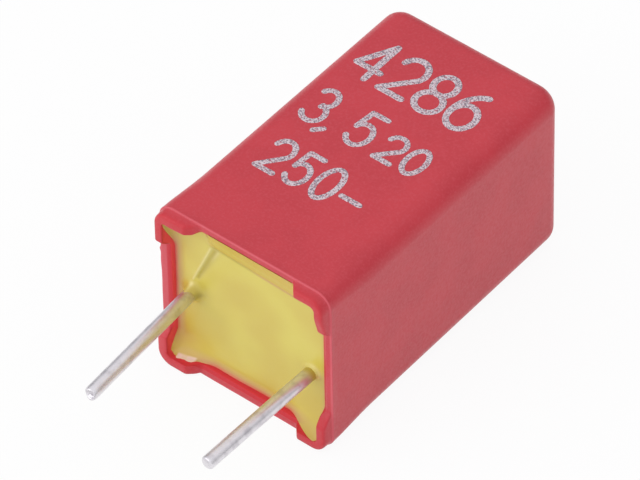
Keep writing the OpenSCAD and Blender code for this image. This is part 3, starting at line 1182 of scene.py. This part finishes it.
# Centre lines of plain round-pen figures in a box one wide and one high.
FIGURES: dict[str, list[Stroke]] = {
    "0": [arc(0.5, 0.5, 0.5, 0.5, 90, 450, 32)],
    "2": [arc(0.5, 0.71, 0.5, 0.29, 165, -32) + [(0.06, 0.03)], [(0.02, 0.0), (1.0, 0.0)]],
    "3": [arc(0.46, 0.74, 0.44, 0.26, 150, -82), arc(0.48, 0.26, 0.5, 0.27, 82, -155)],
    "4": [[(0.72, 1.0), (0.0, 0.28)], [(0.0, 0.28), (1.0, 0.28)], [(0.72, 1.0), (0.72, 0.0)]],
    "5": [[(0.92, 1.0), (0.16, 1.0)], [(0.16, 1.0), (0.06, 0.5)], arc(0.47, 0.33, 0.51, 0.33, 140, -150)],
    "6": [arc(0.5, 0.32, 0.5, 0.32, 0, 360, 28), arc(0.95, 0.36, 0.95, 0.64, 180, 104)],
    "8": [arc(0.5, 0.75, 0.42, 0.25, 0, 360, 24), arc(0.5, 0.25, 0.5, 0.26, 0, 360, 26)],
    ",": [[(0.5, 0.0), (0.2, -0.16)]],
    "-": [[(0.0, 0.4), (1.0, 0.4)]],
}


@dataclass(frozen=True)
class FigureRow:
    """One row of printed figures: where it starts and how large it is."""

    text: str
    x: float
    y: float
    high: float
    wide: float
    step: float
    pen: float


@dataclass
class PrintedFigures:
    """Plain figures pad-printed on the upper side of the case, in a generic layout."""

    form: BoxForm
    rows: tuple[FigureRow, ...] = (
        FigureRow("4286", -2.62, 8.60, 1.85, 0.98, 1.29, 0.125),
        FigureRow("3,5", -2.62, 5.94, 1.60, 0.80, 1.04, 0.11),
        FigureRow("20", 0.55, 5.98, 1.22, 0.68, 0.98, 0.105),
        FigureRow("250-", -2.25, 3.28, 1.52, 0.74, 1.06, 0.11),
    )
    rise: float = 0.008
    segments: int = 14

    def stroke(self, bm_skin: Skin, points: list[Vector], pen: float) -> None:
        """Grows one pen stroke with round ends along its points."""
        first, last = (points[1] - points[0]).normalized(), (points[-1] - points[-2]).normalized()

        def cap(at: Vector, along: Vector, way: int) -> list[tuple[Vector, Vector, float]]:
            """Stations that round off one end of the stroke, from its tip inwards."""
            turns = [t * math.pi / 2 for t in (0.12, 0.4, 0.75)]
            return [(at + along * way * pen * math.cos(t), along, pen * math.sin(t)) for t in turns]

        stations = cap(points[0], first, -1)
        for i, point in enumerate(points):
            before, after = points[max(0, i - 1)], points[min(len(points) - 1, i + 1)]
            stations.append((point, (after - before).normalized(), pen))
        stations += reversed(cap(points[-1], last, 1))

        def ring(at: Vector, along: Vector, radius: float) -> Place:
            """Flattened ring across the stroke."""
            side, top = Vector((along.y, -along.x, 0)), self.form.top(at.y - self.form.rim_y)
            ragged = radius * (1 + 0.1 * wander(at.x, at.y, 1.0, 0.12))
            flat = self.rise * radius / pen
            return lambda across, facing: (
                at + side * facing.x * ragged + Vector((0, 0, top + facing.y * flat))
            )

        bm_skin.start_round(self.segments)
        bm_skin.settle(ring(*stations[0]))
        for station in stations[1:]:
            bm_skin.grow(ring(*station))
        bm_skin.close()

    def build(self) -> bpy.types.Object:
        """Builds every row as one thin piece that lies on the case."""
        whole = bmesh.new()
        for row in self.rows:
            for i, figure in enumerate(row.text):
                for line in FIGURES[figure]:
                    start_x = row.x + i * row.step - (0.22 * row.step if "," in row.text[:i] else 0)
                    start_x -= 0.3 * row.step if figure == "," else 0.0
                    corners = [
                        Vector((start_x + u * row.wide, row.y + self.form.rim_y + v * row.high, 0))
                        for u, v in line
                    ]
                    if len(corners) == 2:
                        corners = [corners[0].lerp(corners[1], k / 10) for k in range(11)]
                    stroke = Skin()
                    self.stroke(stroke, corners, row.pen)
                    part = bpy.data.meshes.new("stroke")
                    stroke.bm.to_mesh(part)
                    stroke.bm.free()
                    whole.from_mesh(part)
                    bpy.data.meshes.remove(part)
        made = write_piece(whole, "printed_figures", FinishKind.INK.value.material())
        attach(made, BODY)
        return made


class WoundElement:
    """The winding and its sprayed contacts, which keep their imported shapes."""

    def dress(self) -> None:
        """Gives the hidden element its finishes."""
        for node, kind in (
            ("film_winding", FinishKind.FILM),
            ("end_contact_left", FinishKind.SPRAY),
            ("end_contact_right", FinishKind.SPRAY),
        ):
            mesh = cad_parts[node].data
            mesh.materials.clear()
            mesh.materials.append(kind.value.material())
            LOG.info("dressed %s", node)


# ------------------------------------------------------------------------------------------ studio


@dataclass(frozen=True)
class SoftBox:
    """A rectangular soft light that points at the part."""

    name: str
    azimuth: float
    elevation: float
    distance: float
    width: float
    height: float
    watts: float
    tint: str = "#FFFFFF"


@dataclass
class Studio:
    """Plain pale floor, soft lights and the camera."""

    target: Vector
    azimuth: float = 39.7176
    elevation: float = 45.8243
    roll: float = -1.1653
    distance: float = 257.388
    lens: float = 436.232
    floor_half: float = 2000.0
    floor_drop: float = 0.002
    floor_tint: str = "#F4F4F4"
    floor_glow: float = 0.92
    sensor: float = 36.0
    sky_rise: tuple[float, float] = (0.36, 0.76)
    front_rise: tuple[float, float] = (0.1, 0.8)
    sky_low: str = "#B0B0B2"
    sky_high: str = "#FCFCFF"
    sky_strength: float = 1.0
    front_azimuth: float = -12
    front_elevation: float = 22
    boxes: tuple[SoftBox, ...] = (
        SoftBox("front_softbox", -25, 30, 460, 460, 340, 0.55),
        SoftBox("right_softbox", 100, 28, 460, 260, 200, 0.06),
    )

    @staticmethod
    def back(azimuth: float, elevation: float) -> Vector:
        """Direction from the part to something at an azimuth and an elevation, in degrees."""
        a, e = math.radians(azimuth), math.radians(elevation)
        return Vector((math.sin(a) * math.cos(e), -math.cos(a) * math.cos(e), math.sin(e)))

    def camera(self) -> None:
        """Sets the camera at its viewing angle."""
        back = self.back(self.azimuth, self.elevation)
        level = Vector((0, 0, 1)).cross(back).normalized()
        up = back.cross(level)
        roll = math.radians(self.roll)
        right = level * math.cos(roll) + up * math.sin(roll)
        up = back.cross(right)
        data = bpy.data.cameras.new("camera")
        data.lens, data.sensor_width = self.lens, self.sensor
        data.clip_start, data.clip_end = 0.01, 10
        made = bpy.data.objects.new("camera", data)
        place = Matrix((right, up, back)).transposed().to_4x4()
        place.translation = (self.target + back * self.distance) * MM
        made.matrix_world = place
        bpy.context.scene.collection.objects.link(made)
        bpy.context.scene.camera = made

    def light(self) -> None:
        """Hangs the soft boxes round the part."""
        for box in self.boxes:
            data = bpy.data.lights.new(box.name, "AREA")
            data.shape, data.size, data.size_y = "RECTANGLE", box.width * MM, box.height * MM
            data.energy, data.color = box.watts, linear(box.tint)[:3]
            made = bpy.data.objects.new(box.name, data)
            back = self.back(box.azimuth, box.elevation)
            made.location = (self.target + back * box.distance) * MM
            made.rotation_mode = "QUATERNION"
            made.rotation_quaternion = back.to_track_quat("Z", "Y")
            bpy.context.scene.collection.objects.link(made)

    def sky(self) -> None:
        """Gives the studio a soft surround, brighter overhead and in front, and a white backdrop."""
        world = bpy.data.worlds.new("studio")
        bpy.context.scene.world = world
        world.use_nodes = True
        tree = world.node_tree
        tree.nodes.clear()
        place = add_node(tree, "ShaderNodeTexCoord").outputs["Generated"]
        shares = []
        for towards, (low, high) in (
            (Vector((0, 0, 1)), self.sky_rise),
            (self.back(self.front_azimuth, self.front_elevation), self.front_rise),
        ):
            along = add_node(
                tree, "ShaderNodeVectorMath", {0: place, 1: towards}, operation="DOT_PRODUCT"
            ).outputs["Value"]
            shares.append(add_node(
                tree, "ShaderNodeMapRange", {"Value": along, "From Min": low, "From Max": high},
                interpolation_type="SMOOTHSTEP",
            ).outputs["Result"])
        rise = calculate(tree, "MAXIMUM", *shares)
        colour = add_node(
            tree, "ShaderNodeMix", {0: rise, 6: linear(self.sky_low), 7: linear(self.sky_high)},
            data_type="RGBA",
        ).outputs[2]
        surround = add_node(
            tree, "ShaderNodeBackground", {"Color": colour, "Strength": self.sky_strength}
        )
        backdrop = add_node(tree, "ShaderNodeBackground", {"Color": (1, 1, 1, 1), "Strength": 1.0})
        seen = add_node(tree, "ShaderNodeLightPath").outputs["Is Camera Ray"]
        shown = add_node(
            tree, "ShaderNodeMixShader",
            {0: seen, 1: surround.outputs["Background"], 2: backdrop.outputs["Background"]},
        )
        add_node(tree, "ShaderNodeOutputWorld", {"Surface": shown.outputs["Shader"]})

    def floor(self) -> None:
        """Lays a plain pale floor that shows white and keeps the part's shadow."""
        bm = bmesh.new()
        bmesh.ops.create_grid(bm, x_segments=8, y_segments=8, size=self.floor_half)
        bmesh.ops.translate(bm, vec=(0, 0, -self.floor_drop), verts=bm.verts[:])
        material = bpy.data.materials.new("floor_board_white")
        material.use_nodes = True
        tree = material.node_tree
        tree.nodes.clear()
        board = add_node(tree, "ShaderNodeBsdfDiffuse", {"Color": linear(self.floor_tint)})
        white = add_node(tree, "ShaderNodeEmission", {"Color": (1, 1, 1, 1), "Strength": 1.0})
        path = add_node(tree, "ShaderNodeLightPath")
        direct = path.outputs["Is Camera Ray"]
        for way in ("Is Glossy Ray", "Is Transmission Ray"):
            direct = calculate(tree, "MAXIMUM", direct, path.outputs[way])
        share = calculate(tree, "MULTIPLY", direct, self.floor_glow)
        shown = add_node(
            tree, "ShaderNodeMixShader", {0: share, 1: board.outputs["BSDF"], 2: white.outputs["Emission"]}
        )
        add_node(tree, "ShaderNodeOutputMaterial", {"Surface": shown.outputs["Shader"]})
        write_piece(bm, "floor", material)

    def build(self) -> None:
        """Sets up the whole studio."""
        bpy.context.scene.view_settings.view_transform = "Standard"
        self.camera()
        self.light()
        self.sky()
        self.floor()


def main() -> None:
    """Builds the studio and every piece, and reports each one."""
    logging.basicConfig(level=logging.INFO, format="%(message)s")
    form = BoxForm()
    left = WireLead(
        "lead_wire_left", "lead_left", form, -2.5, 3.42, Vector((0.041876, -0.998733, -0.027897)), 5.43,
        Tip.HOOKED,
    )
    right = WireLead(
        "lead_wire_right", "lead_right", form, 2.5, 2.82, Vector((-0.027922, -0.99961, 0.0)), 5.09,
        Tip.ROUNDED, sag=0.04,
    )
    Studio(Vector((-0.9233, 1.4655, 3.0469))).build()
    WoundElement().dress()
    for piece in (
        MouldedCase(form), PottingResin(form, ((left.x, left.z), (right.x, right.z))), left, right,
        PrintedFigures(form),
    ):
        made = piece.build()
        LOG.info("built %s: %d faces", made.name, len(made.data.polygons))


if __name__ == "__main__":
    main()
